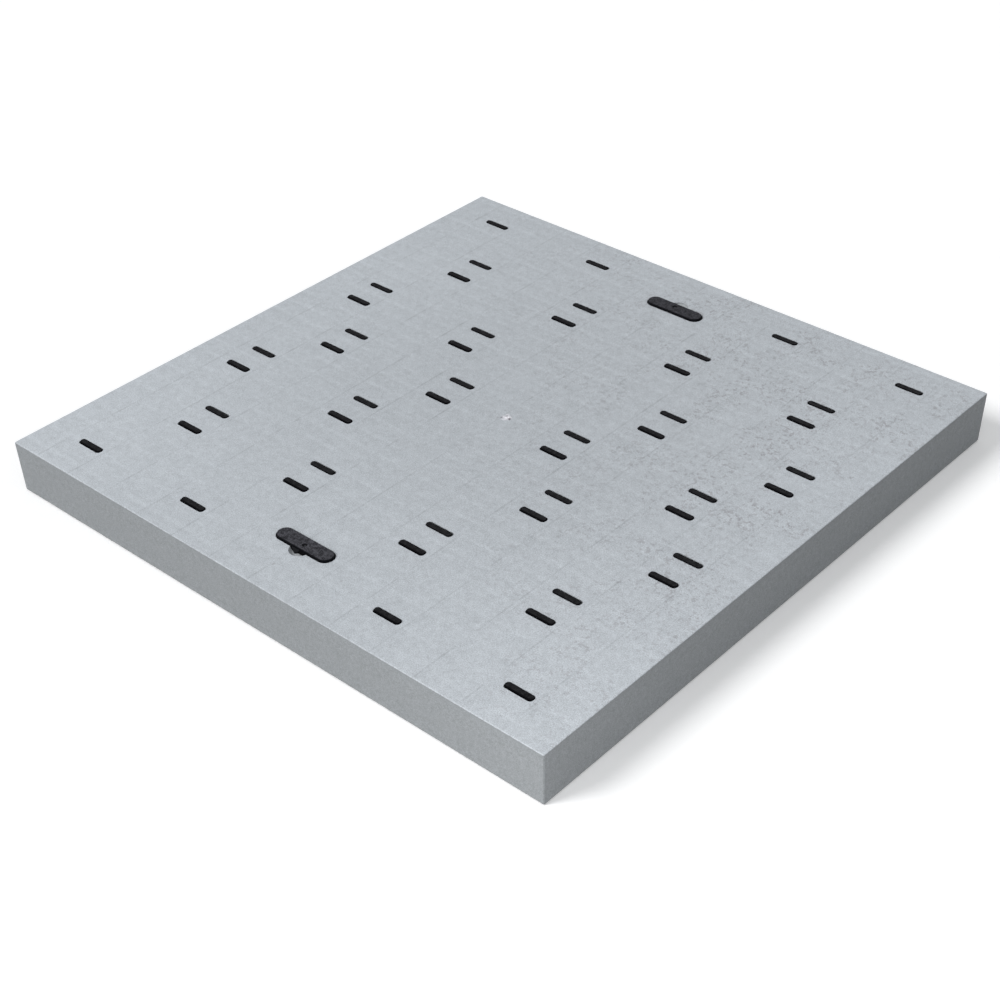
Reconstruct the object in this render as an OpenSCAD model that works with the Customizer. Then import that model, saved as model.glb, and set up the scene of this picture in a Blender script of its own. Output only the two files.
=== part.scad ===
// Square access cover: one ribbed moulding with 48 grip pads and two pull-up handles.
// +Z is up and the origin is at the middle of the underside.
// X runs along the length of the pads, and one handle stands on each side along Y.

/* [Cover] */
// Side of the cover at its top edge
cover_side = 1000; // [960:5:1100]
// Height of the cover
cover_h = 84; // [76:1:110]
// Thickness of the deck
deck_t = 7; // [6:0.5:10]
// Thickness of the skirt
skirt_t = 6; // [4:0.5:10]
// Lean of the skirt from upright, in degrees
skirt_draft = 2; // [0.5:0.5:3]
// Rounding of the top edge
top_edge_r = 1.6; // [0.8:0.2:3]
// Rounding of the bottom edge
bottom_edge_r = 3; // [1:0.5:4]
// Flat across each upright corner
corner_flat = 2; // [1:0.5:6]
// Width of the trimmed moulding spot at the middle of the deck
sprue_w = 13; // [8:1:20]
// Height that the trimmed spot stands above the deck
sprue_rise = 0.4; // [0.2:0.1:1]

/* [Ribs] */
// Thickness of a rib at the deck
rib_root_t = 3.6; // [2.6:0.2:5]
// Thickness of a rib at its lower edge
rib_tip_t = 2.6; // [1.6:0.2:4]
// Height of the ribs' lower edges above the ground
rib_lift = 6; // [2:1:20]
// Distance between ribs along X
rib_pitch = 74.3; // [70:0.1:78]
// Ribs on each side of the middle one at that pitch
rib_steps = 5; // [4:1:5]
// Distance of the outermost ribs from the middle
rib_outer = 441.3; // [430:0.1:455]
// Half the width of a wide cell, from its middle to its rib
wide_cell_half = 32.1; // [31:0.1:33]
// Middle of the second wide cell, along Y
wide_cell_2 = 128.6; // [126:0.1:132]
// Middle of the third wide cell, along Y
wide_cell_3 = 286.8; // [282:0.1:290]

/* [Grip pads] */
// Length of a pad
pad_l = 45.2; // [36:0.2:50]
// Width of a pad
pad_w = 9.6; // [9:0.2:10.6]
// Height of a pad above the deck
pad_rise = 1.7; // [1:0.1:4]
// Depth of the pad's seat in the deck
pad_seat = 4.5; // [3:0.1:4.5]
// Rounding of a pad's upper edge
pad_edge_r = 1.5; // [0.6:0.1:1.8]
// Distance from a pad's middle to the middle of the rib beside it
pad_rib_gap = 6.7; // [6:0.1:7.4]
// Clearance round a pad
pad_gap = 0.3; // [0.2:0.05:0.5]
// Extra width of a pad's seat on the side of the rib
seat_slack = 2; // [0.4:0.1:2.2]
// Length of a pad's stem
stem_l = 32; // [24:1:34]
// Width of a pad's stem
stem_w = 4.6; // [3:0.1:5]
// Distance that a stem's barb stands out on each side
barb_out = 1; // [0.6:0.1:1.4]
// Height of the barb
barb_h = 5; // [3:0.5:8]

/* [Handles] */
// Distance of a handle's middle from the middle of the cover
handle_place = 400.5; // [399:0.5:403]
// Length of the handle's cup at the deck
cup_l = 102.6; // [100:0.2:108]
// Width of the handle's cup at the deck
cup_w = 27.2; // [26:0.2:30]
// Wall of the cup
cup_wall = 1; // [0.8:0.1:2]
// Depth of the cup's collar in the deck
collar_h = 5.2; // [4.6:0.1:5.4]
// Width of the step under the collar
collar_step = 1.4; // [1:0.1:2]
// Thickness of the ledge in the collar that the bar rests on
ledge_t = 1.5; // [1:0.1:2]
// Depth of the cup below the deck's top
cup_depth = 30; // [26:1:34]
// Thickness of the cup's floor
cup_floor_t = 2.5; // [2:0.5:4]
// Clearance between the cup and the deck
cup_gap = 0.3; // [0.2:0.05:0.5]
// Length of a snap nib under the deck
nib_l = 12; // [8:1:16]
// Distance that a nib stands out
nib_out = 1; // [0.8:0.1:1.4]
// Height of a nib
nib_h = 4; // [3:0.5:6]
// Distance of the nibs from the handle's middle
nib_place = 26; // [18:1:32]
// Clearance between the bar and the cup
bar_gap = 0.4; // [0.3:0.1:0.8]
// Height of the bar above the deck
bar_rise = 3.6; // [1:0.1:6]
// Depth of the bar's grip below the cup's step
grip_h = 5.5; // [4:0.5:8]
// Rounding of the bar's upper edge
bar_edge_r = 1.2; // [0.8:0.1:2]
// Rounding under the bar's grip
grip_edge_r = 2; // [1:0.5:3]
// Width of the dimple in the bar
dimple_w = 7.5; // [3:0.5:9]
// Depth of the dimple
dimple_depth = 2.2; // [0.8:0.1:2.8]
// Distance of the dimple from the bar's middle line, towards the tongue
dimple_place = 3; // [0:0.5:5]
// Distance of the dimple to the right of the handle's middle
dimple_right = 2; // [0:0.5:6]
// Way that a handle travels upwards
handle_travel = 38; // [25:1:40]
// Clearance left between hook and floor at the top of the travel
stop_gap = 0.3; // [0.2:0.1:0.6]
// Distance of a leg from the handle's middle
leg_place = 33; // [28:1:36]
// Thickness of a leg
leg_t = 7; // [5:0.5:8]
// Width of a leg
leg_w = 16; // [12:1:18]
// Clearance round a leg
leg_gap = 0.5; // [0.3:0.1:0.8]
// Distance that a leg's hook stands out
hook_out = 3; // [2:0.5:4]
// Height of a hook
hook_h = 8; // [6:1:9]

/* [Finger recess] */
// Radius of the recess at the deck
recess_r = 15.2; // [15:0.1:16.5]
// Depth of the recess's wall at the rim
recess_depth = 2.8; // [2:0.1:3.4]
// Narrowing of the recess down its wall
recess_taper = 0.8; // [0.2:0.2:1.6]
// Radius of the flat floor, which lies as deep as the cup's collar
recess_floor_r = 10.4; // [9.6:0.2:12]
// Distance of the recess's middle from the handle's middle
recess_place = 10.5; // [9.5:0.1:11.5]
// Left end of the lift tongue, from the handle's middle
tongue_left = 13; // [10:0.5:13.5]
// Right end of the lift tongue, from the handle's middle
tongue_right = 1; // [0:0.5:8]
// Distance of the tongue's tip to the left of the handle's middle
tongue_tip = 3.4; // [0:0.2:6]
// Reach of the tongue beyond the cup
tongue_reach = 4; // [3:0.2:5.6]
// Depth of the tongue's upper face below the deck where it leaves the bar
tongue_sink = 0.4; // [0:0.1:0.8]
// Thickness of the tongue
tongue_t = 1.1; // [0.8:0.1:1.4]
// Clearance round the tongue, to the collar and to the recess's floor
tongue_gap = 0.4; // [0.3:0.1:0.8]

/* [Hidden] */
$fn = 64;
cut = 1;                       // overlap of a cut beyond the face that it opens
edge_steps = 4;                // flats in an eased edge
knit = 2.5;                    // depth to which a rib enters the skirt
well_wall_t = rib_root_t;      // walls beside a handle's cup
well_gap = 4;                  // space between the cup and its well
under_deck = cover_h - deck_t;
half_side = cover_side / 2;
rib_root_z = under_deck + cut;
seat_z = cover_h - collar_h;   // deck's ledge that the collar rests on
ledge_z = seat_z + ledge_t;    // collar's ledge that the bar rests on
floor_z = cover_h - cup_depth; // underside of the cup's floor
tongue_root_z = cover_h - tongue_sink;
tongue_tip_z = seat_z + tongue_gap + tongue_t;
dimple_ball_r = (dimple_w * dimple_w / 4 + dimple_depth * dimple_depth) / (2 * dimple_depth);

// Ribs across Y: each entry gives the first rib, the last rib and the cells between them
rib_spans = [
    [wide_cell_half, wide_cell_2 - wide_cell_half, 2],
    [wide_cell_2 + wide_cell_half, wide_cell_3 - wide_cell_half, 3],
    [wide_cell_3 + wide_cell_half, rib_outer, 3],
];
ribs_y = [for (s = rib_spans, i = [0:s[2]]) s[0] + (s[1] - s[0]) * i / s[2]];
ribs_x = concat([for (i = [1:rib_steps]) i * rib_pitch], [rib_outer]);

// Pads stand at the middles of the cells, in two sets of columns that take turns
near_columns = [1.5 * rib_pitch, 4.5 * rib_pitch];
far_columns = [2.5 * rib_pitch, (rib_steps * rib_pitch + rib_outer) / 2];
pad_inset = wide_cell_half - pad_rib_gap;

// Each row gives its distance along Y, the way to the rib beside it (1 is outwards) and its columns
pad_rows = [
    [pad_inset, 1, near_columns],
    [wide_cell_2 - pad_inset, -1, far_columns],
    [wide_cell_2 + pad_inset, 1, far_columns],
    [wide_cell_3 - pad_inset, -1, near_columns],
    [wide_cell_3 + pad_inset, 1, near_columns],
    [rib_outer - pad_rib_gap, 1, far_columns],
];
pad_places = [
    for (side = [-1, 1], row = pad_rows, column = row[2], hand = [-1, 1])
        [hand * column, side * row[0], side * row[1]]
];

function pad_name(i) = str("grip_pad_", i < 9 ? "0" : "", i + 1);

shell_grey = [0.72, 0.74, 0.76];
pad_black = [0.13, 0.13, 0.14];
handle_black = [0.16, 0.16, 0.17];

// Points of a rounded corner between two straight edges, from angle a to angle b
function eased(x, y, r, a, b) =
    [for (i = [0:edge_steps]) let (t = a + (b - a) * i / edge_steps) [x + r * cos(t), y + r * sin(t)]];

// Outline of the cover seen from one side, with leaning sides and eased edges
module side_outline(half_top, half_bottom, top_r, bottom_r) {
    lean = atan((half_top - half_bottom) / cover_h);
    top_in = top_r * tan((90 + lean) / 2);
    bottom_in = bottom_r * tan((90 - lean) / 2);
    right = concat(
        eased(half_bottom - bottom_in, bottom_r, bottom_r, -90, -lean),
        eased(half_top - top_in, cover_h - top_r, top_r, -lean, 90)
    );
    left = [for (i = [len(right) - 1:-1:0]) [-right[i][0], right[i][1]]];
    polygon(concat(right, left));
}

// Straight bar of that outline, along Y
module side_prism(half_top, half_bottom, top_r, bottom_r) {
    rotate([90, 0, 0])
        linear_extrude(2 * cover_side, center = true)
            side_outline(half_top, half_bottom, top_r, bottom_r);
}

// Solid block with the cover's outer form
module outer_block() {
    lean_in = cover_h * tan(skirt_draft);
    corner_half = half_side * sqrt(2) - corner_flat / 2;
    intersection() {
        side_prism(half_side, half_side - lean_in, top_edge_r, bottom_edge_r);
        rotate([0, 0, 90])
            side_prism(half_side, half_side - lean_in, top_edge_r, bottom_edge_r);
        rotate([0, 0, 45])
            side_prism(corner_half, corner_half - lean_in * sqrt(2), top_edge_r, bottom_edge_r);
        rotate([0, 0, -45])
            side_prism(corner_half, corner_half - lean_in * sqrt(2), top_edge_r, bottom_edge_r);
    }
}

// Leaning wall of the hollow, along Y
module hollow_prism() {
    top = half_side - skirt_t - deck_t * tan(skirt_draft);
    bottom = half_side - skirt_t - (cover_h + cut) * tan(skirt_draft);
    rotate([90, 0, 0])
        linear_extrude(2 * cover_side, center = true)
            polygon([[-bottom, -cut], [bottom, -cut], [top, under_deck], [-top, under_deck]]);
}

// The open space under the deck
module hollow() {
    intersection() {
        hollow_prism();
        rotate([0, 0, 90]) hollow_prism();
    }
}

// One rib along Y through the middle, thinner at its lower edge
module rib(length, root_t = rib_root_t, tip_t = rib_tip_t) {
    rotate([90, 0, 0])
        linear_extrude(length, center = true)
            polygon([
                [-tip_t / 2, rib_lift],
                [tip_t / 2, rib_lift],
                [root_t / 2, rib_root_z],
                [-root_t / 2, rib_root_z],
            ]);
}

// Grid of ribs that carries the deck
module rib_grid() {
    length = 2 * (half_side - skirt_t + knit);
    rib(length);
    for (side = [-1, 1]) {
        for (x = ribs_x) translate([side * x, 0, 0]) rib(length);
        for (y = ribs_y) translate([0, side * y, 0]) rotate([0, 0, 90]) rib(length);
    }
}

// Ribs on either side of a handle's well, across Y
well_inner = max([for (y = ribs_y) if (y < handle_place - cup_w / 2) y]);
well_outer = rib_outer;
well_half = cup_l / 2 + well_gap;

// Space of a handle's well below the deck
module well_space() {
    translate([-well_half, well_inner + rib_root_t / 2, -cut])
        cube([2 * well_half, well_outer - well_inner - rib_root_t, under_deck + cut]);
}

// Two short walls that close the ends of a handle's well
module well_walls() {
    for (side = [-1, 1])
        translate([side * (well_half + well_wall_t / 2), (well_inner + well_outer) / 2, 0])
            rib(well_outer - well_inner);
}

// Flat outline with round ends, along X
module stadium(length, width) {
    square([length - width, width], center = true);
    for (side = [-1, 1]) translate([side * (length - width) / 2, 0]) circle(d = width);
}

// Straight-sided block on a stadium, with its foot at z
module stadium_block(length, width, height, z = 0) {
    translate([0, 0, z]) linear_extrude(height) stadium(length, width);
}

// Half section of a block with a rounded upper edge
module rounded_half(width, height, r) {
    square([width / 2, height - r]);
    square([width / 2 - r, height]);
    translate([width / 2 - r, height - r]) circle(r);
}

// Block on a stadium with a rounded upper edge, standing on z = 0
module rounded_block(length, width, height, r) {
    rotate([90, 0, 90])
        linear_extrude(length - width, center = true) {
            rounded_half(width, height, r);
            mirror([1, 0]) rounded_half(width, height, r);
        }
    for (side = [0, 1])
        mirror([side, 0, 0])
            translate([(length - width) / 2, 0, 0])
                rotate([0, 0, -90])
                    rotate_extrude(angle = 180)
                        intersection() {
                            rounded_half(width, height, r);
                            square([width, height]);
                        }
}

// Outline of a pad's seat, wider towards the rib
module seat_outline(rib_side) {
    length = pad_l + 2 * pad_gap;
    width = pad_w + 2 * pad_gap;
    for (shift = [0, rib_side * seat_slack]) translate([0, shift]) stadium(length, width);
    translate([0, rib_side * seat_slack / 2]) square([length, seat_slack], center = true);
}

// Seat and stem slot of one pad, cut through the deck
module pad_cut(rib_side) {
    translate([0, 0, cover_h - pad_seat]) linear_extrude(pad_seat + cut) seat_outline(rib_side);
    stadium_block(stem_l + 2 * pad_gap, stem_w + 2 * pad_gap, deck_t + cut, under_deck - cut / 2);
}

// Opening of one handle through the deck, with the ledge that its collar rests on
module handle_cut() {
    length = cup_l + 2 * cup_gap;
    width = cup_w + 2 * cup_gap;
    stadium_block(length, width, collar_h + cut, cover_h - collar_h);
    stadium_block(length - 2 * collar_step, width - 2 * collar_step, deck_t + cut, under_deck - cut / 2);
}

// Round recess for a fingertip at the outer side of a handle: a steep rim and a dished floor
module recess_cut() {
    slope = recess_taper / recess_depth;
    translate([0, -recess_place, 0])
        rotate_extrude()
            polygon([
                [0, seat_z],
                [recess_floor_r, seat_z],
                [recess_r - recess_taper, cover_h - recess_depth],
                [recess_r + cut * slope, cover_h + cut],
                [0, cover_h + cut],
            ]);
}

// Places its children at the front handle and, turned half round, at the back one
module at_handles() {
    for (turn = [0, 180]) rotate([0, 0, turn]) translate([0, -handle_place, 0]) children();
}

// The moulded cover: deck, leaning skirt and rib grid in one piece
module cover_shell() {
    color(shell_grey)
        difference() {
            union() {
                difference() {
                    outer_block();
                    hollow();
                }
                difference() {
                    rib_grid();
                    for (side = [0, 1]) mirror([0, side, 0]) well_space();
                }
                for (side = [0, 1]) mirror([0, side, 0]) well_walls();
                translate([0, 0, cover_h - cut])
                    cylinder(h = cut + sprue_rise, d = sprue_w);
            }
            for (place = pad_places) translate([place[0], place[1], 0]) pad_cut(place[2]);
            at_handles() handle_cut();
            at_handles() recess_cut();
        }
}

// Barb below the deck, which narrows downwards
module barb() {
    top = cover_h - deck_t - pad_gap;
    wide = stem_w + 2 * barb_out;
    straight = stem_l - stem_w;
    rotate([90, 0, 90])
        linear_extrude(straight, center = true)
            polygon([
                [-wide / 2, top],
                [wide / 2, top],
                [stem_w / 2, top - barb_h],
                [-stem_w / 2, top - barb_h],
            ]);
    for (side = [-1, 1])
        translate([side * straight / 2, 0, top - barb_h])
            cylinder(h = barb_h, r1 = stem_w / 2, r2 = wide / 2);
}

// One grip pad: a rounded head in its seat, a stem and a barb under the deck
module grip_pad() {
    color(pad_black) {
        translate([0, 0, cover_h - pad_seat])
            rounded_block(pad_l, pad_w, pad_seat + pad_rise, pad_edge_r);
        stadium_block(stem_l, stem_w, deck_t - pad_seat + pad_gap + cut, under_deck - pad_gap);
        barb();
    }
}

// Snap nibs that hold the cup from below, on both long sides
module cup_nibs(half_width) {
    top = under_deck - cup_gap;
    for (side = [0, 1], place = [-1, 1])
        mirror([0, side, 0])
            translate([place * nib_place, 0, 0])
                rotate([90, 0, 90])
                    linear_extrude(nib_l, center = true)
                        polygon([
                            [half_width - cup_wall / 2, top],
                            [half_width + nib_out, top],
                            [half_width, top - nib_h],
                            [half_width - cup_wall / 2, top - nib_h],
                        ]);
}

// Holes for the two legs in the cup's floor
module leg_holes() {
    for (side = [-1, 1])
        translate([side * leg_place, 0, floor_z + cup_floor_t / 2])
            cube([leg_t + 2 * leg_gap, leg_w + 2 * leg_gap, 2 * cup_floor_t], center = true);
}

// Sloping slab that follows the tongue's upper face, from below it by under to above it by over
module tongue_slope(under, over = 0) {
    root_y = -cup_w / 2 + cup_wall;
    run = cup_wall + tongue_reach;
    drop = tongue_root_z - tongue_tip_z;
    rotate([90, 0, 90])
        linear_extrude(2 * cup_l, center = true)
            polygon([
                [root_y + run, tongue_root_z + drop + over],
                [root_y - 2 * run, tongue_root_z - 2 * drop + over],
                [root_y - 2 * run, tongue_root_z - 2 * drop - under],
                [root_y + run, tongue_root_z + drop - under],
            ]);
}

// Outline of the tongue seen from above, grown by a clearance
module tongue_outline(grow = 0) {
    edge = -cup_w / 2;
    polygon([
        [-tongue_left - grow, edge + cup_wall + bar_edge_r + bar_gap],
        [-tongue_left - grow, edge],
        [-tongue_tip, edge - tongue_reach],
        [tongue_right + grow, edge],
        [tongue_right + grow, edge + cup_wall + bar_edge_r + bar_gap],
    ]);
}

// Black cup that lines the opening and guides the legs
module handle_cup() {
    lower_l = cup_l - 2 * collar_step;
    lower_w = cup_w - 2 * collar_step;
    color(handle_black)
        difference() {
            union() {
                stadium_block(cup_l, cup_w, collar_h, seat_z);
                stadium_block(lower_l, lower_w, seat_z - floor_z + cut, floor_z);
                cup_nibs(lower_w / 2);
            }
            stadium_block(cup_l - 2 * cup_wall, cup_w - 2 * cup_wall, collar_h, ledge_z);
            stadium_block(
                lower_l - 2 * cup_wall, lower_w - 2 * cup_wall,
                cup_depth, floor_z + cup_floor_t
            );
            leg_holes();
            intersection() {
                translate([0, 0, ledge_z]) linear_extrude(2 * collar_h) tongue_outline(tongue_gap);
                tongue_slope(tongue_t + tongue_gap, collar_h);
            }
        }
}

// One leg of the handle with the hook that stops it under the cup's floor
module handle_leg() {
    stop_z = floor_z - handle_travel - stop_gap;
    grip_z = seat_z - grip_h;
    outside = leg_place + leg_t / 2;
    inside = leg_place - leg_t / 2;
    rotate([90, 0, 0])
        linear_extrude(leg_w, center = true)
            polygon([
                [inside, grip_z + cut],
                [inside, stop_z - hook_h],
                [outside, stop_z - hook_h],
                [outside + hook_out, stop_z - hook_out],
                [outside + hook_out, stop_z],
                [outside, stop_z],
                [outside, grip_z + cut],
            ]);
}

// Sloping tongue at the bar's outer side, which lies over the finger recess
module lift_tongue() {
    intersection() {
        translate([0, 0, seat_z]) linear_extrude(collar_h + bar_rise) tongue_outline();
        tongue_slope(tongue_t);
    }
}

// The handle: rounded bar, grip, two hooked legs and the lift tongue, in one moulding
module handle_bar() {
    plate_l = cup_l - 2 * (cup_wall + bar_gap);
    plate_w = cup_w - 2 * (cup_wall + bar_gap);
    grip_l = plate_l - 2 * collar_step;
    grip_w = plate_w - 2 * collar_step;
    plate_h = cover_h + bar_rise - ledge_z;
    color(handle_black)
        difference() {
            union() {
                translate([0, 0, ledge_z]) rounded_block(plate_l, plate_w, plate_h, bar_edge_r);
                translate([0, 0, ledge_z + cut])
                    mirror([0, 0, 1]) rounded_block(grip_l, grip_w, grip_h + ledge_t + cut, grip_edge_r);
                for (side = [0, 1]) mirror([side, 0, 0]) handle_leg();
                lift_tongue();
            }
            translate([dimple_right, -dimple_place, cover_h + bar_rise - dimple_depth + dimple_ball_r])
                sphere(dimple_ball_r);
        }
}

// Puts a handle's piece at the front or, turned half round, at the back
module at_front() {
    translate([0, -handle_place, 0]) children();
}
module at_back() {
    rotate([0, 0, 180]) at_front() children();
}

cover_shell();
at_front() handle_cup();  // handle_cup_front
at_back() handle_cup();  // handle_cup_back
at_front() handle_bar();  // handle_bar_front
at_back() handle_bar();  // handle_bar_back
for (i = [0:len(pad_places) - 1])
    translate([pad_places[i][0], pad_places[i][1], 0]) grip_pad();
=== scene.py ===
"""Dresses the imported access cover: a grey ribbed moulding, black pads and two pull-up handles.

The solids come from model.glb. This script gives them their materials, adds the torn spot at the
deck's middle, and makes the camera and the studio. Lengths are in metres; the front faces -Y.
"""

import logging
import math
import random
from dataclasses import dataclass, replace
from enum import Enum

import bmesh
import bpy
from mathutils import Matrix, Vector


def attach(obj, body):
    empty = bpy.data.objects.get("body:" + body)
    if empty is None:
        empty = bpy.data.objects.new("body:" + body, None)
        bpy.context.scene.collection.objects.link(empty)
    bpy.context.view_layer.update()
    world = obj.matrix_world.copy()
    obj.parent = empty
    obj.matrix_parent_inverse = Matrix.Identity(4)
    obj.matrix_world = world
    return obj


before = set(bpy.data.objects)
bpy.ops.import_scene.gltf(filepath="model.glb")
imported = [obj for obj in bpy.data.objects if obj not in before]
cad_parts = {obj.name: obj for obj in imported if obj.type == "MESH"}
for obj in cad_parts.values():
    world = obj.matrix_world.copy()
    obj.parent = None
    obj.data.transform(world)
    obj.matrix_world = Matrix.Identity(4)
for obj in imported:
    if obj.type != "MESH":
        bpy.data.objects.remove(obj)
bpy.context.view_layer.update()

log = logging.getLogger("access_cover")
Material = bpy.types.Material
Node = bpy.types.Node
Socket = bpy.types.NodeSocket
Tree = bpy.types.NodeTree
Triple = tuple[float, float, float]
Value = Socket | Triple | float
Verts = list[bmesh.types.BMVert]

MM = 0.001
DECK_TOP = 84 * MM
HALF_SIDE = 500 * MM
NOISE_MEAN = 0.5
BLACK: Triple = (0.0, 0.0, 0.0)
WHITE: Triple = (1.0, 1.0, 1.0)

# A Mix node's factor, first and second input, and its output, for numbers and for colours.
NUMBER_INPUTS, NUMBER_OUTPUT = (0, 2, 3), 0
COLOUR_INPUTS, COLOUR_OUTPUT = (0, 6, 7), 2


class Body(Enum):
    """Bodies of the part that a new piece rides on."""

    COVER = "cover"


class Slot(Enum):
    """A material slot of the record; no piece here takes its finish from it."""

    COVER_GREY = "cover_grey"


class End(Enum):
    """Ends of the cover that hold a handle."""

    FRONT = "front"
    BACK = "back"


def linear(level: float) -> float:
    """Turns an sRGB display level from 0 to 255 into a linear colour value."""
    share = level / 255
    return share / 12.92 if share <= 0.04045 else ((share + 0.055) / 1.055) ** 2.4


def shade(red: float, green: float, blue: float) -> Triple:
    """Turns three display levels into a linear colour."""
    return linear(red), linear(green), linear(blue)


@dataclass(frozen=True)
class Ease:
    """A smooth step: a value at or below low gives start, and one at or above high gives end."""

    low: float
    high: float
    start: float = 0.0
    end: float = 1.0


@dataclass(frozen=True)
class Noise:
    """A Noise texture: its cells to a metre, its octaves and the strength of the finer ones."""

    scale: Socket | float
    detail: float = 2.0
    rough: float = 0.5


class Graph:
    """Adds nodes to one node tree and joins them up."""

    def __init__(self, tree: Tree) -> None:
        """Keeps the tree that the nodes go to.

        Args:
            tree: node tree of a material, a world or a group.
        """
        self.tree = tree

    def node(self, kind: str, *values: Value, **settings: object) -> Node:
        """Adds one node.

        Args:
            kind: Blender's name of the node type.
            *values: sockets or values for its first inputs, in order.
            **settings: properties to set on it.

        Returns:
            The new node.
        """
        made = self.tree.nodes.new(kind)
        for name, setting in settings.items():
            setattr(made, name, setting)
        for socket, value in zip(made.inputs, values):
            self.feed(socket, value)
        return made

    def feed(self, socket: Socket, value: Value) -> None:
        """Joins a socket to another one, or sets its value.

        Args:
            socket: input socket to fill.
            value: an output socket, or a plain value.
        """
        if isinstance(value, Socket):
            self.tree.links.new(value, socket)
        elif isinstance(value, tuple) and socket.type == "RGBA":
            socket.default_value = (*value, 1.0)
        else:
            socket.default_value = value

    def fill(self, node: Node, **values: Value) -> Node:
        """Fills a node's inputs by name.

        Args:
            node: the node.
            **values: sockets or values by the input's name, with _ for a space.

        Returns:
            The same node.
        """
        for name, value in values.items():
            self.feed(node.inputs[name.replace("_", " ")], value)
        return node

    def math(self, operation: str, *values: Value, clamp: bool = False) -> Socket:
        """Adds a Math node.

        Args:
            operation: its operation, such as "ADD".
            *values: sockets or numbers for its inputs, in order.
            clamp: keeps the result between 0 and 1.

        Returns:
            Its output.
        """
        made = self.node("ShaderNodeMath", *values, operation=operation, use_clamp=clamp)
        return made.outputs[0]

    def plus(self, first: Value, second: Value) -> Socket:
        """Adds two numbers."""
        return self.math("ADD", first, second)

    def minus(self, first: Value, second: Value) -> Socket:
        """Takes the second number from the first."""
        return self.math("SUBTRACT", first, second)

    def times(self, first: Value, second: Value) -> Socket:
        """Multiplies two numbers."""
        return self.math("MULTIPLY", first, second)

    def ramp(self, value: Value, ease: Ease) -> Socket:
        """Eases a value from one range into another.

        Args:
            value: socket to map.
            ease: the two ranges.

        Returns:
            The mapped output.
        """
        values = (value, ease.low, ease.high, ease.start, ease.end)
        made = self.node("ShaderNodeMapRange", *values, interpolation_type="SMOOTHSTEP")
        return made.outputs[0]

    def noise(self, where: Socket, noise: Noise) -> Socket:
        """Adds a Noise texture.

        Args:
            where: coordinates.
            noise: its settings.

        Returns:
            Its grey output.
        """
        made = self.node("ShaderNodeTexNoise")
        self.fill(made, Vector=where, Scale=noise.scale, Detail=noise.detail, Roughness=noise.rough)
        return made.outputs[0]

    def cloud(self, where: Socket, noise: Noise, ease: Ease) -> Socket:
        """Adds a Noise texture and eases it into a range."""
        return self.ramp(self.noise(where, noise), ease)

    def choose(self, share: Value, first: Value, second: Value) -> Socket:
        """Mixes two plain numbers.

        Args:
            share: 0 gives the first and 1 the second.
            first: number or socket.
            second: number or socket.

        Returns:
            The mixed number.
        """
        made = self.node("ShaderNodeMix", data_type="FLOAT")
        for index, value in zip(NUMBER_INPUTS, (share, first, second)):
            self.feed(made.inputs[index], value)
        return made.outputs[NUMBER_OUTPUT]

    def mix(self, share: Value, first: Value, second: Value, blend: str = "MIX") -> Socket:
        """Mixes two colours.

        Args:
            share: how much of the second is used.
            first: colour under it.
            second: colour laid over it.
            blend: blend type.

        Returns:
            The mixed colour.
        """
        made = self.node("ShaderNodeMix", data_type="RGBA", blend_type=blend)
        for index, value in zip(COLOUR_INPUTS, (share, first, second)):
            self.feed(made.inputs[index], value)
        return made.outputs[COLOUR_OUTPUT]

    def toned(self, colour: Value, tone: Socket) -> Socket:
        """Multiplies a colour by a number.

        Args:
            colour: colour or socket.
            tone: the number.

        Returns:
            The lighter or darker colour.
        """
        grey = self.node("ShaderNodeCombineColor", tone, tone, tone)
        return self.mix(1.0, colour, grey.outputs[0], "MULTIPLY")

    def place(self) -> Socket:
        """Gives the surface's place on the object, in metres."""
        return self.node("ShaderNodeTexCoord").outputs["Object"]

    def split(self, vector: Socket) -> tuple[Socket, Socket, Socket]:
        """Splits a vector into its X, Y and Z."""
        made = self.node("ShaderNodeSeparateXYZ", vector)
        return made.outputs[0], made.outputs[1], made.outputs[2]

    def call(self, group: Tree, **values: Value) -> Node:
        """Places a shared group and fills its inputs by name."""
        return self.fill(self.node("ShaderNodeGroup", node_tree=group), **values)


class Surface:
    """A new material with its graph."""

    def __init__(self, name: str) -> None:
        """Starts the material.

        Args:
            name: the material's name.
        """
        self.material = bpy.data.materials.new(name)
        self.material.use_nodes = True
        self.graph = Graph(self.material.node_tree)

    def set(self, **values: Value) -> None:
        """Fills inputs of the Principled shader by name."""
        self.graph.fill(self.material.node_tree.nodes["Principled BSDF"], **values)

    def relief(self, height: Socket, strength: float, depth: float) -> None:
        """Gives the surface its fine relief.

        Args:
            height: height over the surface, about 0 to 1.
            strength: share of the bump that shows.
            depth: how deep a height of 1 is.
        """
        bump = self.graph.node("ShaderNodeBump")
        self.graph.fill(bump, Strength=strength, Distance=depth, Height=height)
        self.set(Normal=bump.outputs[0])


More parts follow.
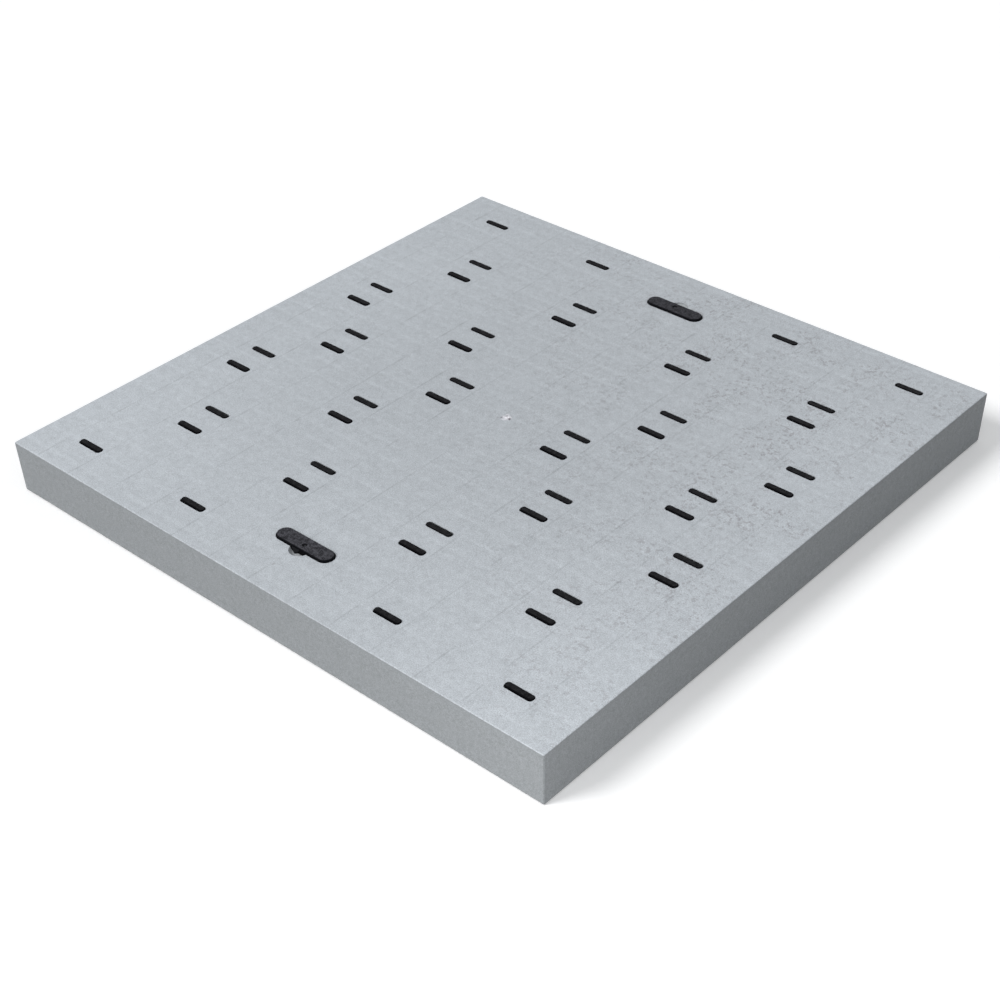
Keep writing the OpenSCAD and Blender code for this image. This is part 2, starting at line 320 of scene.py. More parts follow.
class SharedGroup:
    """A shader node group with named inputs and outputs."""

    def __init__(
        self, name: str, inputs: dict[str, float | None], outputs: tuple[str, ...]
    ) -> None:
        """Starts an empty group.

        Args:
            name: the group's name.
            inputs: input names with their first values; None makes a vector.
            outputs: names of the outputs, which are numbers.
        """
        self.tree = bpy.data.node_groups.new(name, "ShaderNodeTree")
        self.graph = Graph(self.tree)
        sockets = self.tree.interface
        for label, value in inputs.items():
            kind = "NodeSocketVector" if value is None else "NodeSocketFloat"
            made = sockets.new_socket(label, in_out="INPUT", socket_type=kind)
            if value is not None:
                made.default_value = value
        for label in outputs:
            sockets.new_socket(label, in_out="OUTPUT", socket_type="NodeSocketFloat")
        self.given = self.graph.node("NodeGroupInput").outputs
        self.result = self.graph.node("NodeGroupOutput").inputs

    def take(self, *names: str) -> list[Socket]:
        """Gives the named inputs of the group, in order."""
        return [self.given[name] for name in names]

    def give(self, name: str, value: Socket) -> None:
        """Sends a socket to one of the group's outputs."""
        self.graph.feed(self.result[name], value)


@dataclass(frozen=True)
class MouldedGrain:
    """Fine moulded grain: a height for bump and a slight change of shade.

    scale and contrast are only first values: each material gives its own.
    """

    scale: float = 400.0
    contrast: float = 0.05
    fine_detail: float = 3.0
    fine_rough: float = 0.65
    fine_share: float = 0.8
    coarse_scale: float = 0.22
    coarse_share: float = 0.2

    def group(self) -> Tree:
        """Builds the group.

        Returns:
            The group, with inputs Place, Scale and Contrast and outputs Height and Shade.
        """
        inputs = {"Place": None, "Scale": self.scale, "Contrast": self.contrast}
        group = SharedGroup("moulded_grain", inputs, ("Height", "Shade"))
        graph = group.graph
        place, scale, contrast = group.take("Place", "Scale", "Contrast")
        fine = graph.noise(place, Noise(scale, self.fine_detail, self.fine_rough))
        coarse = graph.noise(place, Noise(graph.times(scale, self.coarse_scale)))
        height = graph.plus(
            graph.times(fine, self.fine_share), graph.times(coarse, self.coarse_share)
        )
        swing = graph.times(graph.minus(height, NOISE_MEAN), contrast)
        group.give("Height", height)
        group.give("Shade", graph.plus(1.0, swing))
        return group.tree


@dataclass(frozen=True)
class SettledDust:
    """Dust that lies on upward faces in patches.

    scale, amount and patchiness are only first values: each material gives its own.
    """

    scale: float = 60.0
    amount: float = 0.5
    patchiness: float = 0.5
    facing: Ease = Ease(0.87, 0.97)
    spread: Ease = Ease(0.36, 0.64)
    spread_detail: float = 4.0
    spread_rough: float = 0.6
    spread_share: float = 0.55
    grit: Ease = Ease(0.4, 0.6)
    grit_scale: float = 4.0
    grit_share: float = 0.45

    def group(self) -> Tree:
        """Builds the group.

        Returns:
            The group, with inputs Place, Scale, Amount and Patchiness and output Mask.
        """
        inputs = {
            "Place": None,
            "Scale": self.scale,
            "Amount": self.amount,
            "Patchiness": self.patchiness,
        }
        group = SharedGroup("settled_dust", inputs, ("Mask",))
        graph = group.graph
        place, scale, amount, patchiness = group.take("Place", "Scale", "Amount", "Patchiness")
        towards_z = graph.split(graph.node("ShaderNodeNewGeometry").outputs["Normal"])[2]
        upward = graph.ramp(towards_z, self.facing)
        noise = Noise(scale, self.spread_detail, self.spread_rough)
        spread = graph.cloud(place, noise, self.spread)
        grit = graph.cloud(place, Noise(graph.times(scale, self.grit_scale)), self.grit)
        cover = graph.plus(
            graph.times(spread, self.spread_share), graph.times(grit, self.grit_share)
        )
        broken = graph.plus(graph.minus(1.0, patchiness), graph.times(cover, patchiness))
        mask = graph.math("MULTIPLY", graph.times(upward, broken), amount, clamp=True)
        group.give("Mask", mask)
        return group.tree


@dataclass(frozen=True)
class PaleArris:
    """Mask of the cover's outer edges, in broken patches, where the moulding is made lighter."""

    half_side: float = HALF_SIDE
    height: float = DECK_TOP
    width: float = 4 * MM
    gaps: Noise = Noise(90.0, 3.0)
    gaps_ease: Ease = Ease(0.35, 0.75)

    def group(self) -> Tree:
        """Builds the group.

        Returns:
            The group, with inputs Place, Half Side, Height and Width and output Mask.
        """
        inputs = {
            "Place": None,
            "Half Side": self.half_side,
            "Height": self.height,
            "Width": self.width,
        }
        group = SharedGroup("pale_arris", inputs, ("Mask",))
        graph = group.graph
        place, half_side, height, width = group.take("Place", "Half Side", "Height", "Width")
        x, y, z = graph.split(place)
        to_x = graph.minus(half_side, graph.math("ABSOLUTE", x))
        to_y = graph.minus(half_side, graph.math("ABSOLUTE", y))
        to_top = graph.minus(height, z)
        along_top = graph.math("MAXIMUM", graph.math("MINIMUM", to_x, to_y), to_top)
        along_corner = graph.math("MAXIMUM", to_x, to_y)
        nearest = graph.math("MINIMUM", along_top, along_corner)
        near = graph.math("SUBTRACT", 1.0, graph.math("DIVIDE", nearest, width), clamp=True)
        broken = graph.cloud(place, self.gaps, self.gaps_ease)
        group.give("Mask", graph.times(near, broken))
        return group.tree


@dataclass(frozen=True)
class Run:
    """A run of evenly spaced ribs: the place of the first and the distance between them."""

    first: float
    step: float


@dataclass(frozen=True)
class SinkShadeAndDips:
    """Sink marks over the ribs below the deck, drawn as painted shade and painted highlight.

    A rib leaves a shallow sink; one slope of it faces the light and the other turns away. Where the
    rib runs along Y, one of its edges is painted as a thin dark line of shade and the other as a
    fainter one. Where it runs along X, it is painted as a broad pale band of highlight beside a
    faint dark one of shade. The dark lines also give the sink its real dip in the bump.
    """

    pitch: float = 74.3 * MM
    steps: int = 5
    outer: float = 441.3 * MM
    cell_half: float = 32.1 * MM
    cell_places: tuple[float, ...] = (0.0, 128.6 * MM, 286.8 * MM)
    cells_between: tuple[int, ...] = (2, 3, 3)
    dark_edge: float = -6.2 * MM
    dark_width: float = 2.2 * MM
    inner_edge: float = 0.5 * MM
    inner_strength: Ease = Ease(-0.1, 0.25, 0.05, 0.3)
    pale_edge: float = 5.0 * MM
    pale_width: float = 6.5 * MM
    shade_edge: float = -4.3 * MM
    shade_width: float = 5.0 * MM
    shade_strength: Ease = Ease(-0.1, 0.4, 0.1, 0.22)
    breaks_scale: Triple = (60.0, 22.0, 1.0)
    breaks: Noise = Noise(1.0, 3.0, 0.7)
    breaks_ease: Ease = Ease(0.36, 0.66, 0.25, 1.6)
    fading: Noise = Noise(9.0)
    fading_ease: Ease = Ease(0.3, 0.7, 0.6, 1.3)

    def runs_x(self) -> list[Run]:
        """Gives the runs of the ribs that run along Y, by their places along X."""
        last = self.steps * self.pitch
        return [Run(0.0, self.pitch), Run(self.outer, self.outer - last)]

    def runs_y(self) -> list[Run]:
        """Works out the runs of the ribs that run along X.

        Returns:
            The runs, by their places along Y.
        """
        starts = [place + self.cell_half for place in self.cell_places]
        ends = [place - self.cell_half for place in self.cell_places[1:]] + [self.outer]
        return [
            Run(start, (end - start) / cells)
            for start, end, cells in zip(starts, ends, self.cells_between)
        ]

    def offset(self, graph: Graph, value: Socket, runs: list[Run]) -> Socket:
        """Works out the distance past the nearest rib, positive towards the positive axis.

        Args:
            graph: where the nodes go.
            value: place along one axis.
            runs: the ribs on one side of the middle; the other side mirrors them.

        Returns:
            The signed distance.
        """
        away = graph.math("ABSOLUTE", value)
        nearest = None
        for run in runs:
            past = graph.minus(away, run.first)
            local = graph.math("WRAP", past, run.step / 2, -run.step / 2)
            if nearest is None:
                nearest = local
            else:
                inside = graph.math("GREATER_THAN", past, -run.step / 2)
                nearest = graph.choose(inside, nearest, local)
        return graph.times(nearest, graph.math("SIGN", value))

    def line(self, graph: Graph, offset: Socket, centre: float, width: float) -> Socket:
        """Makes a soft line beside each rib.

        Args:
            graph: where the nodes go.
            offset: signed distance from the nearest rib.
            centre: where the line lies, in the same measure.
            width: distance over which it fades on each side.

        Returns:
            A mask that is 1 on the line.
        """
        gap = graph.math("ABSOLUTE", graph.minus(offset, centre))
        return graph.ramp(gap, Ease(0.0, width, 1.0, 0.0))

    def group(self) -> Tree:
        """Builds the masks of the painted shade and highlight at the sink marks, and of their dip.

        Returns:
            The group: input Place; Dark, the painted shade and dip; Pale, the painted highlight.
        """
        group = SharedGroup("sink_shade_and_dips", {"Place": None}, ("ShadeAndDip", "Highlight"))
        graph = group.graph
        (place,) = group.take("Place")
        x, y, _ = graph.split(place)
        past_x = self.offset(graph, x, self.runs_x())
        past_y = self.offset(graph, y, self.runs_y())
        scale = self.breaks_scale
        squeezed = graph.node("ShaderNodeVectorMath", place, scale, operation="MULTIPLY")
        breaks = graph.cloud(squeezed.outputs[0], self.breaks, self.breaks_ease)
        thin = self.line(graph, past_x, self.dark_edge, self.dark_width)
        inner = self.line(graph, past_x, self.inner_edge, self.dark_width)
        inner = graph.times(inner, graph.ramp(x, self.inner_strength))
        thin = graph.times(graph.plus(thin, inner), breaks)
        broad = self.line(graph, past_y, self.shade_edge, self.shade_width)
        broad = graph.times(broad, graph.ramp(y, self.shade_strength))
        # Painted shade beside the ribs; the same mask gives the sink marks their dip.
        group.give("ShadeAndDip", graph.plus(thin, broad))
        # Painted highlight: a broad pale band beside each rib that runs along X.
        faded = graph.cloud(place, self.fading, self.fading_ease)
        pale = self.line(graph, past_y, self.pale_edge, self.pale_width)
        group.give("Highlight", graph.times(pale, faded))
        return group.tree


@dataclass(frozen=True)
class Effects:
    """The shared node groups that the materials place."""

    grain: Tree
    dust: Tree
    arris: Tree
    shaded_sinks: Tree


@dataclass(frozen=True)
class Smudge:
    """A small mark at one place on the deck, with its strength from 0 to 1."""

    x: float
    y: float
    across: float
    strength: float


@dataclass(frozen=True)
class Smudges:
    """Small ragged marks at chosen places of a level surface.

    rag is how far a mark's edge wanders and solid how far its middle reaches, both as shares of
    its size.
    """

    height: float
    marks: tuple[Smudge, ...]
    rag_noise: Noise = Noise(260.0)
    rag: float = 0.8
    solid: float = 0.45

    def mask(self, graph: Graph, place: Socket) -> Socket:
        """Builds the mask of the marks.

        Args:
            graph: where the nodes go.
            place: place on the object.

        Returns:
            Each mark's strength at its middle, and 0 away from the marks.
        """
        mask = None
        noise = graph.noise(place, self.rag_noise)
        for mark in self.marks:
            middle = (mark.x, mark.y, self.height)
            gap = graph.node("ShaderNodeVectorMath", place, middle, operation="DISTANCE")
            ragged = graph.plus(gap.outputs["Value"], graph.times(noise, mark.across * self.rag))
            ease = Ease(mark.across * self.solid, mark.across, mark.strength, 0.0)
            spot = graph.ramp(ragged, ease)
            mask = spot if mask is None else graph.math("MAXIMUM", mask, spot)
        return mask


@dataclass(frozen=True)
class PaintedDeckLight:
    """Painted light: a gentle change of brightness over the deck.

    It is paler towards the front and the two sides, and a very little towards the back.
    """

    middle: float = 0.965
    beside: Ease = Ease(0.15, 0.48, 0.0, 0.073)
    beside_behind: Ease = Ease(0.2, 0.47, 1.0, 0.3)
    before: Ease = Ease(-0.47, -0.02, 0.105, 0.0)
    behind: Ease = Ease(0.15, 0.47, 0.0, 0.012)

    def tone(self, graph: Graph, x: Socket, y: Socket) -> Socket:
        """Builds the painted change of brightness.

        Args:
            graph: where the nodes go.
            x: place along X.
            y: place along Y.

        Returns:
            A factor for the colour.
        """
        beside = graph.ramp(graph.math("ABSOLUTE", x), self.beside)
        beside = graph.times(beside, graph.ramp(y, self.beside_behind))
        before = graph.ramp(y, self.before)
        behind = graph.ramp(y, self.behind)
        return graph.plus(graph.plus(beside, before), graph.plus(behind, self.middle))


@dataclass(frozen=True)
class Speckle:
    """Small dark specks in clusters, denser towards the back right, and a few larger smudges."""

    lean: float = 0.7
    denser: Ease = Ease(-0.25, 0.5, 0.12)
    clusters: Noise = Noise(11.0, 3.0, 0.6)
    clusters_ease: Ease = Ease(0.38, 0.6, 0.2)
    specks: Noise = Noise(160.0, 3.0, 0.65)
    specks_ease: Ease = Ease(0.53, 0.64)
    grit: Noise = Noise(380.0, 2.0, 0.6)
    grit_ease: Ease = Ease(0.62, 0.7)
    grit_strength: float = 1.5
    smudges: Smudges = Smudges(
        83.6 * MM,
        (
            Smudge(-3.2 * MM, -454.6 * MM, 5.0 * MM, 0.9),
            Smudge(90.6 * MM, -422.4 * MM, 5.0 * MM, 0.7),
            Smudge(360.6 * MM, 66.0 * MM, 16.0 * MM, 0.35),
            Smudge(296.1 * MM, 203.9 * MM, 14.0 * MM, 0.3),
            Smudge(276.0 * MM, -32.2 * MM, 5.0 * MM, 0.8),
            Smudge(449.8 * MM, -35.1 * MM, 12.0 * MM, 0.3),
            Smudge(262.2 * MM, 165.7 * MM, 4.0 * MM, 0.9),
            Smudge(-9.2 * MM, -8.2 * MM, 5.0 * MM, 1.0),
            Smudge(-13.8 * MM, 12.5 * MM, 4.0 * MM, 0.8),
            Smudge(17.6 * MM, 11.9 * MM, 4.0 * MM, 0.7),
        ),
    )

    def mask(self, graph: Graph, place: Socket, x: Socket, y: Socket) -> Socket:
        """Builds the mask of the dirt.

        Args:
            graph: where the nodes go.
            place: place on the object.
            x: its X.
            y: its Y.

        Returns:
            A mask of the dirt.
        """
        denser = graph.ramp(graph.plus(x, graph.times(y, self.lean)), self.denser)
        clusters = graph.cloud(place, self.clusters, self.clusters_ease)
        specks = graph.cloud(place, self.specks, self.specks_ease)
        grit = graph.cloud(place, self.grit, self.grit_ease)
        marks = graph.math("MAXIMUM", specks, graph.times(grit, self.grit_strength))
        mask = graph.times(marks, graph.times(clusters, denser))
        return graph.math("MAXIMUM", mask, self.smudges.mask(graph, place))


@dataclass(frozen=True)
class GreyFinish:
    """The cover's pale grey matt moulding with its marks."""

    deck: Triple = shade(185, 190, 195)
    # The sides take a darker, more neutral colour than the deck: painted shade on the sides.
    side: Triple = shade(171, 175, 178)
    stain: Triple = shade(143, 141, 145)
    stain_share: float = 0.62
    roughness: float = 0.62
    rough_swing: float = 0.2
    specular: float = 0.3
    grain_scale: float = 620.0
    grain_contrast: float = 1.6
    side_grain: float = 0.9
    relief: float = 0.35
    relief_depth: float = 0.3 * MM
    # Real bump dip at the sink marks, then the strengths of their painted shade and highlight.
    sink_dip: float = -0.4
    sink_shade: float = 0.11
    sink_highlight: float = 0.041
    arris_lift: float = 0.10
    on_deck: Ease = Ease(82.5 * MM, 83.6 * MM)
    # Painted shade on the sides, at their foot and just under the deck's edge.
    foot: Ease = Ease(0.5 * MM, 3.5 * MM, 0.78)
    shade_under_deck: Ease = Ease(79.5 * MM, 82.5 * MM, 1.0, 0.9)
    cloud: Noise = Noise(26.0, 4.0, 0.6)
    blotches: Ease = Ease(0.3, 0.7, 0.982, 1.018)
    mottle: Noise = Noise(150.0, 3.0, 0.6)
    mottle_ease: Ease = Ease(0.3, 0.7, 0.978, 1.022)
    painted_deck_light: PaintedDeckLight = PaintedDeckLight()
    speckle: Speckle = Speckle()

    def marks(self, graph: Graph, shaded_sinks: Node, on_deck: Socket) -> Socket:
        """Builds the painted shade and highlight at the sink marks.

        Args:
            graph: where the nodes go.
            shaded_sinks: the group with the sink marks' painted shade and highlight, and their dip.
            on_deck: 1 on the deck and 0 on the sides.

        Returns:
            A factor for the colour.
        """
        pale = graph.times(shaded_sinks.outputs["Highlight"], self.sink_highlight)
        marks = graph.minus(pale, graph.times(shaded_sinks.outputs["ShadeAndDip"], self.sink_shade))
        return graph.plus(1.0, graph.times(marks, on_deck))

    def painted_rim_shade(self, graph: Graph, z: Socket) -> Socket:
        """Paints shade on the sides, slightly darker at their foot and just under the deck's edge.
        """
        return graph.times(graph.ramp(z, self.foot), graph.ramp(z, self.shade_under_deck))

    def material(self, effects: Effects) -> Material:
        """Builds the material.

        Args:
            effects: the shared groups.

        Returns:
            The finished material.
        """
        surface = Surface("grey_moulding")
        graph = surface.graph
        place = graph.place()
        x, y, z = graph.split(place)
        on_deck = graph.ramp(z, self.on_deck)
        side_contrast = self.grain_contrast * self.side_grain
        contrast = graph.choose(on_deck, side_contrast, self.grain_contrast)
        grain = graph.call(effects.grain, Place=place, Scale=self.grain_scale, Contrast=contrast)
        shaded_sinks = graph.call(effects.shaded_sinks, Place=place)
        arris = graph.call(effects.arris, Place=place)
        cloud = graph.noise(place, self.cloud)

        dirt = self.speckle.mask(graph, place, x, y)
        dirt = graph.times(dirt, graph.times(on_deck, self.stain_share))
        # The deck's colour on top and the sides' painted-shade colour below, with stains on the
        # deck.
        colour = graph.mix(dirt, graph.mix(on_deck, self.side, self.deck), self.stain)

        # Painted light over the deck, and painted shade on the sides at their foot and just under
        # the deck's edge.
        painted_light_and_shade = graph.choose(on_deck, self.painted_rim_shade(graph, z), self.painted_deck_light.tone(graph, x, y))
        mottle = graph.cloud(place, self.mottle, self.mottle_ease)
        blotch = graph.ramp(cloud, self.blotches)
        blotch = graph.times(blotch, graph.choose(on_deck, mottle, 1.0))
        # Tone: painted shade and highlight at the sink marks, painted light and shade, blotches and
        # grain.
        tone = graph.times(self.marks(graph, shaded_sinks, on_deck), painted_light_and_shade)
        tone = graph.times(tone, graph.times(blotch, grain.outputs["Shade"]))
        # Lighter along the outer edges, in broken patches.
        tone = graph.times(tone, graph.plus(1.0, graph.times(arris.outputs["Mask"], self.arris_lift)))

        swing = graph.times(graph.minus(cloud, NOISE_MEAN), self.rough_swing)
        surface.set(
            Base_Color=graph.toned(colour, tone),
            Roughness=graph.plus(self.roughness, swing),
            Specular_IOR_Level=self.specular,
        )
        dips = graph.times(graph.times(shaded_sinks.outputs["ShadeAndDip"], on_deck), self.sink_dip)
        height = graph.plus(grain.outputs["Height"], dips)
        surface.relief(height, self.relief, self.relief_depth)
        return surface.material


@dataclass(frozen=True)
class BlackFinish:
    """A black moulding with dust on its upper faces."""

    name: str
    base: Triple
    dusty: Triple
    dust_amount: float
    roughness: float
    specular: float
    grain_scale: float
    dust_scale: float = 55.0
    patchiness: float = 0.6
    grain_contrast: float = 0.3
    dust_rough: float = 0.25
    relief: float = 0.3
    relief_depth: float = 0.15 * MM

    def material(self, effects: Effects) -> Material:
        """Builds the material.

        Args:
            effects: the shared groups.

        Returns:
            The finished material.
        """
        surface = Surface(self.name)
        graph = surface.graph
        place = graph.place()
        grain = graph.call(
            effects.grain, Place=place, Scale=self.grain_scale, Contrast=self.grain_contrast
        )
        dust = graph.call(
            effects.dust,
            Place=place,
            Scale=self.dust_scale,
            Amount=self.dust_amount,
            Patchiness=self.patchiness,
        ).outputs["Mask"]
        black = graph.toned(self.base, grain.outputs["Shade"])
        rough = graph.math("ADD", self.roughness, graph.times(dust, self.dust_rough), clamp=True)
        surface.set(
            Base_Color=graph.mix(dust, black, self.dusty),
            Roughness=rough,
            Specular_IOR_Level=self.specular,
        )
        surface.relief(grain.outputs["Height"], self.relief, self.relief_depth)
        return surface.material


PAD_FINISH = BlackFinish(
    name="pad_black",
    base=shade(7, 7, 10),
    dusty=shade(64, 64, 66),
    dust_amount=0.45,
    roughness=0.75,
    specular=0.05,
    grain_scale=500.0,
    dust_scale=190.0,
    patchiness=0.9,
)
CUP_FINISH = BlackFinish(
    name="cup_black",
    base=shade(6, 6, 8),
    dusty=shade(36, 36, 38),
    dust_amount=0.25,
    roughness=0.7,
    specular=0.06,
    grain_scale=700.0,
)
FRONT_BAR_FINISH = BlackFinish(
    name="front_bar_black",
    base=shade(11, 12, 16),
    dusty=shade(91, 91, 97),
    dust_amount=0.78,
    roughness=0.6,
    specular=0.08,
    grain_scale=420.0,
    dust_scale=150.0,
    patchiness=0.88,
)
# A copy of the front bar's finish with less dust, so the back bar is darker: painted shade.
SHADED_BACK_BAR_FINISH = replace(FRONT_BAR_FINISH, name="shaded_back_bar_black", dust_amount=0.53)


@dataclass(frozen=True)
class TornFinish:
    """Torn plastic: grey skin with pale peaks, and dark clefts where shade is painted."""

    skin: Triple = shade(180, 184, 190)
    peak: Triple = shade(238, 236, 241)
    cleft_shade: Triple = shade(98, 92, 100)
    roughness: float = 0.7
    grain_scale: float = 900.0
    grain_contrast: float = 0.5
    relief: float = 0.5
    relief_depth: float = 0.2 * MM
    peaks: Smudges = Smudges(
        84.5 * MM,
        (
            Smudge(1.2 * MM, -2.2 * MM, 15.0 * MM, 0.95),
            Smudge(4.4 * MM, 0.6 * MM, 11.0 * MM, 0.85),
            Smudge(-2.0 * MM, 5.0 * MM, 9.0 * MM, 0.6),
        ),
    )
    # Where the shade is painted: the dark clefts of the torn spot.
    clefts: Smudges = Smudges(
        84.5 * MM,
        (
            Smudge(7.4 * MM, -1.4 * MM, 6.5 * MM, 0.9),
            Smudge(-4.9 * MM, -5.6 * MM, 6.0 * MM, 0.9),
            Smudge(-1.0 * MM, 2.6 * MM, 4.0 * MM, 0.6),
        ),
    )

    def material(self, effects: Effects) -> Material:
        """Builds the material.

        Args:
            effects: the shared groups.

        Returns:
            The finished material.
        """
        surface = Surface("torn_plastic")
        graph = surface.graph
        place = graph.place()
        grain = graph.call(
            effects.grain, Place=place, Scale=self.grain_scale, Contrast=self.grain_contrast
        )
        colour = graph.mix(self.peaks.mask(graph, place), self.skin, self.peak)
        # Painted shade in the clefts.
        colour = graph.mix(self.clefts.mask(graph, place), colour, self.cleft_shade)
        surface.set(
            Base_Color=graph.toned(colour, grain.outputs["Shade"]), Roughness=self.roughness
        )
        surface.relief(grain.outputs["Height"], self.relief, self.relief_depth)
        return surface.material


def dress(name: str, material: Material) -> None:
    """Gives a carried-over solid its material.

    Args:
        name: the solid's node.
        material: finish for all of its slots.
    """
    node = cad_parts[name]
    if not node.material_slots:
        node.data.materials.append(material)
    for slot in node.material_slots:
        slot.material = material


@dataclass
class CoverShell:
    """The grey moulding: deck, skirt and ribs in one piece."""

    name: str = "cover_shell"

    def build(self, grey: Material) -> None:
        """Dresses the moulding."""
        dress(self.name, grey)
        log.info("%s dressed", self.name)


@dataclass
class GateSpot:
    """The torn spot at the deck's middle, where the moulding was filled and then cut off."""

    name: str = "gate_spot"
    deck_top: float = DECK_TOP
    across: float = 17.0 * MM
    foot: float = 1.1
    rim_rise: float = 0.45 * MM
    rise: float = 1.0 * MM
    lowest: float = 0.4
    highest: float = 1.3
    rings: int = 6
    segments: int = 24
    ragged: float = 0.16
    seed: int = 7

    def build(self, torn: Material) -> None:
        """Makes the spot and seats it on the deck.

        Args:
            torn: its material.
        """
        rng = random.Random(self.seed)
        mesh = bmesh.new()
        edge = [1.0 + rng.uniform(-self.ragged, self.ragged) for _ in range(self.segments)]
        hoops = [self.hoop(mesh, edge, self.foot, self.deck_top)]
        for ring in range(self.rings):
            share = 1.0 - ring / self.rings
            dome = math.sin(math.pi * (1.0 - share))
            peak = self.rim_rise + (self.rise - self.rim_rise) * dome
            hoops.append(self.hoop(mesh, edge, share, self.deck_top))
            for vert in hoops[-1]:
                height = peak * rng.uniform(self.lowest, self.highest)
                vert.co.z = self.deck_top + max(self.rim_rise, height)
        for outer, inner in zip(hoops, hoops[1:]):
            self.join(mesh, outer, inner)
        mesh.faces.new(hoops[-1])
        mesh.faces.new(list(reversed(hoops[0])))
        bmesh.ops.recalc_face_normals(mesh, faces=mesh.faces)
        data = bpy.data.meshes.new(self.name)
        mesh.to_mesh(data)
        mesh.free()
        spot = bpy.data.objects.new(self.name, data)
        bpy.context.scene.collection.objects.link(spot)
        data.materials.append(torn)
        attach(spot, Body.COVER.value)
        log.info("%s: %d faces", self.name, len(data.polygons))

    def hoop(
        self, mesh: bmesh.types.BMesh, edge: list[float], share: float, height: float
    ) -> Verts:
        """Makes one closed row of points.

        Args:
            mesh: where they go.
            edge: raggedness of the outline, one factor for each point.
            share: size of the row, as a share of the outline.
            height: its height.

        Returns:
            The points in order.
        """
        points = []
        for index, factor in enumerate(edge):
            angle = 2 * math.pi * index / self.segments
            reach = self.across / 2 * share * (1.0 + (factor - 1.0) * share)
            place = (reach * math.cos(angle), reach * math.sin(angle), height)
            points.append(mesh.verts.new(place))
        return points

    def join(self, mesh: bmesh.types.BMesh, outer: Verts, inner: Verts) -> None:
        """Fills the band between two rows of points.

        Args:
            mesh: where the faces go.
            outer: one row.
            inner: the next row in, with as many points.
        """
        for index, start in enumerate(outer):
            after = (index + 1) % self.segments
            mesh.faces.new((start, outer[after], inner[after], inner[index]))


@dataclass
class GripPads:
    """The small black pads that stand in rows on the deck."""

    prefix: str = "grip_pad_"

    def build(self, black: Material) -> None:
        """Dresses every pad.

        Args:
            black: material of the pads.
        """
        names = sorted(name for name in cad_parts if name.startswith(self.prefix))
        for name in names:
            dress(name, black)
        log.info("%d grip pads dressed", len(names))


@dataclass
class Handles:
    """The two black handles, each a cup and a bar that slides up out of it."""

    cup_prefix: str = "handle_cup_"
    bar_prefix: str = "handle_bar_"

    def build(self, cup: Material, bars: dict[End, Material]) -> None:
        """Dresses both handles.

        Args:
            cup: material of the cups.
            bars: material of each end's bar; less dust darkens the back one, as painted shade.
        """
        for end, bar in bars.items():
            dress(self.cup_prefix + end.value, cup)
            dress(self.bar_prefix + end.value, bar)
            log.info("handle %s dressed", end.value)


@dataclass(frozen=True)
class PhotoCamera:
    """Camera at the photograph's viewing angle, worked out from the cover's corners and pads.

    Angles are in degrees. focal, centre_x, centre_y and frame_px are in pixels of the photograph,
    sensor in millimetres. distance, across and above place the camera from the object's origin,
    along its view, to its right and up.
    """

    azimuth: float = 41.935
    elevation: float = 34.105
    roll: float = -1.192
    distance: float = 2.8397
    focal: float = 1926.15
    across: float = 0.0143
    above: float = 0.0365
    centre_x: float = 17.25
    centre_y: float = -60.0
    frame_px: int = 1000
    sensor: float = 36.0

    def build(self) -> None:
        """Places the camera and makes it the scene's own."""
        az, el, roll = (math.radians(angle) for angle in (self.azimuth, self.elevation, self.roll))
        back = Vector((math.sin(az) * math.cos(el), -math.cos(az) * math.cos(el), math.sin(el)))
        level = Vector((math.cos(az), math.sin(az), 0.0))
        upright = back.cross(level)
        right = level * math.cos(roll) + upright * math.sin(roll)
        up = upright * math.cos(roll) - level * math.sin(roll)
        eye = back * self.distance + right * self.across + up * self.above
        data = bpy.data.cameras.new("photo_camera")
        data.sensor_width = self.sensor
        data.lens = self.focal * self.sensor / self.frame_px
        data.shift_x = -self.centre_x / self.frame_px
        data.shift_y = self.centre_y / self.frame_px
        camera = bpy.data.objects.new("photo_camera", data)
        turn = Matrix((right, up, back)).transposed().to_4x4()
        camera.matrix_world = Matrix.Translation(eye) @ turn
        bpy.context.scene.collection.objects.link(camera)
        bpy.context.scene.camera = camera
        log.info("camera ready")


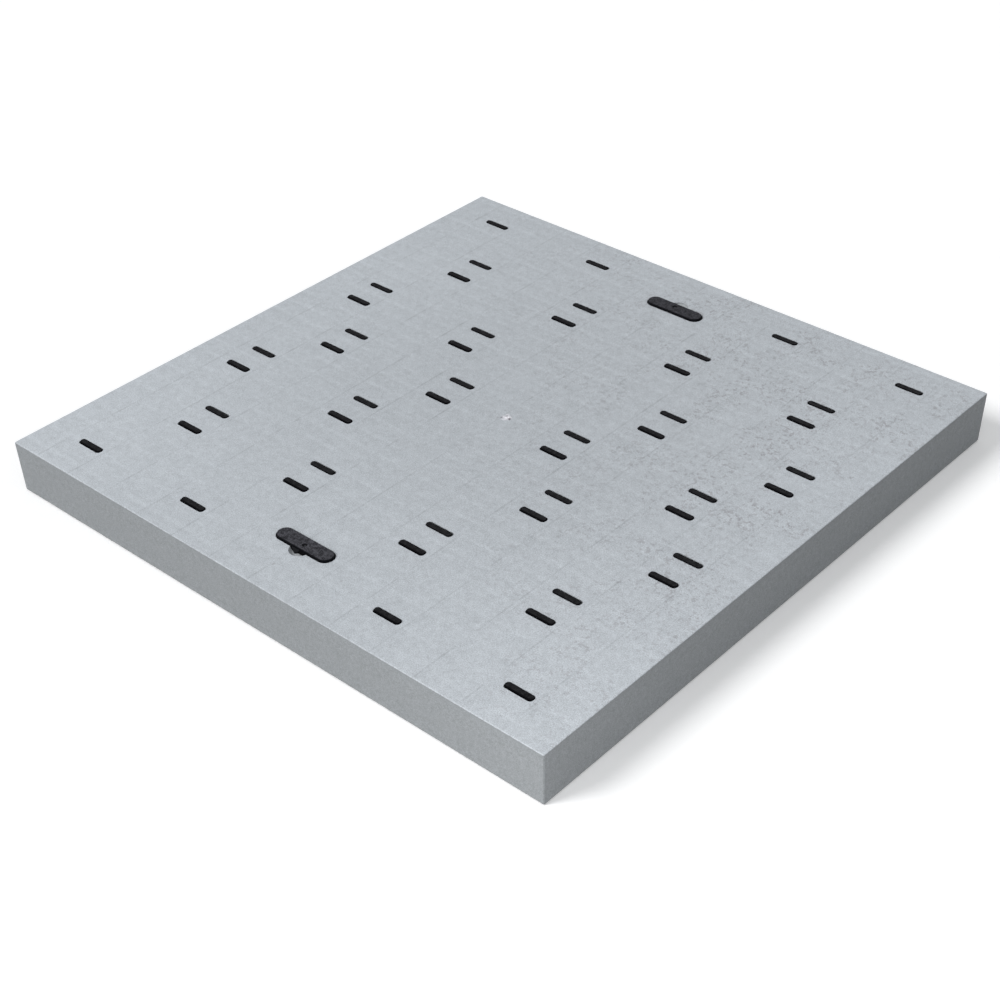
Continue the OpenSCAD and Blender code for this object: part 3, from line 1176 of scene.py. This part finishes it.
@dataclass
class Studio:
    """Plain pale floor and soft light.

    floor_bounce is what the floor throws back on the object, and floor_glow what it adds to its
    white where it is seen. sky_lean is how much brighter the sky is towards +X.
    """

    floor_half: float = 9.0
    floor_cells: int = 4
    floor_drop: float = 0.2 * MM
    floor_bounce: float = 0.08
    floor_glow: float = 0.16
    sky: float = 0.46
    sky_lean: float = 0.27
    sky_colour: Triple = (0.97, 0.985, 1.0)
    sky_seen: float = 1.0
    sun_from: Triple = (-0.364, -0.640, 0.678)
    sun_strength: float = 1.98
    sun_angle: float = 24.0
    lamp_place: Triple = (1.0, -0.99, 0.28)
    lamp_target: Triple = (0.45, -0.45, 0.04)
    lamp_size: float = 0.5
    lamp_power: float = 1.95

    def build(self) -> None:
        """Makes the world, the lamps and the floor."""
        self.world()
        self.lamps()
        self.floor()
        log.info("studio ready")

    def seen(self, graph: Graph) -> Socket:
        """Tells whether a ray is one that shows the background.

        Args:
            graph: where the nodes go.

        Returns:
            1 for camera, glossy and transmission rays.
        """
        path = graph.node("ShaderNodeLightPath").outputs
        shown = graph.math("MAXIMUM", path["Is Camera Ray"], path["Is Glossy Ray"])
        return graph.math("MAXIMUM", shown, path["Is Transmission Ray"])

    def world(self) -> None:
        """Makes a sky that looks white and lights the object a little more from +X."""
        world = bpy.data.worlds.new("studio")
        world.use_nodes = True
        bpy.context.scene.world = world
        graph = Graph(world.node_tree)
        towards_x = graph.split(graph.node("ShaderNodeTexCoord").outputs["Generated"])[0]
        light = graph.times(graph.plus(1.0, graph.times(towards_x, self.sky_lean)), self.sky)
        strength = graph.choose(self.seen(graph), light, self.sky_seen)
        sky = world.node_tree.nodes["Background"]
        graph.fill(sky, Color=self.sky_colour, Strength=strength)

    def lamps(self) -> None:
        """Makes the soft main light and a weak near one at the front corner."""
        main = bpy.data.lights.new("main_light", "SUN")
        main.energy = self.sun_strength
        main.angle = math.radians(self.sun_angle)
        sun = bpy.data.objects.new("main_light", main)
        sun.rotation_euler = Vector(self.sun_from).to_track_quat("Z", "Y").to_euler()
        near = bpy.data.lights.new("near_light", "AREA")
        near.energy = self.lamp_power
        near.size = self.lamp_size
        lamp = bpy.data.objects.new("near_light", near)
        lamp.location = self.lamp_place
        aim = Vector(self.lamp_place) - Vector(self.lamp_target)
        lamp.rotation_euler = aim.to_track_quat("Z", "Y").to_euler()
        lamp.visible_camera = False
        for item in (sun, lamp):
            bpy.context.scene.collection.objects.link(item)

    def floor(self) -> None:
        """Makes a floor that looks white, keeps the shadow and throws little light back."""
        mesh = bmesh.new()
        cells = self.floor_cells
        bmesh.ops.create_grid(mesh, x_segments=cells, y_segments=cells, size=self.floor_half)
        bmesh.ops.translate(mesh, verts=mesh.verts, vec=(0.0, 0.0, -self.floor_drop))
        data = bpy.data.meshes.new("floor")
        mesh.to_mesh(data)
        mesh.free()
        floor = bpy.data.objects.new("floor", data)
        bpy.context.scene.collection.objects.link(floor)
        surface = Surface("floor_white")
        graph = surface.graph
        seen = self.seen(graph)
        surface.set(
            Base_Color=graph.mix(seen, (self.floor_bounce,) * 3, WHITE),
            Roughness=1.0,
            Specular_IOR_Level=0.0,
            Emission_Color=graph.mix(seen, BLACK, (self.floor_glow,) * 3),
            Emission_Strength=1.0,
        )
        data.materials.append(surface.material)


def save_sizes() -> None:
    """Brings the scene's placements up to date."""
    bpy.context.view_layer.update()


def main() -> None:
    """Builds the camera, the studio, the finishes and every piece, in that order."""
    logging.basicConfig(level=logging.INFO, format="%(name)s: %(message)s")
    bpy.context.scene.view_settings.view_transform = "Standard"
    PhotoCamera().build()
    Studio().build()
    effects = Effects(
        grain=MouldedGrain().group(),
        dust=SettledDust().group(),
        arris=PaleArris().group(),
        shaded_sinks=SinkShadeAndDips().group(),
    )
    CoverShell().build(GreyFinish().material(effects))
    GateSpot().build(TornFinish().material(effects))
    GripPads().build(PAD_FINISH.material(effects))
    bars = {End.FRONT: FRONT_BAR_FINISH, End.BACK: SHADED_BACK_BAR_FINISH}
    Handles().build(
        CUP_FINISH.material(effects), {end: bar.material(effects) for end, bar in bars.items()}
    )
    save_sizes()


if __name__ == "__main__":
    main()
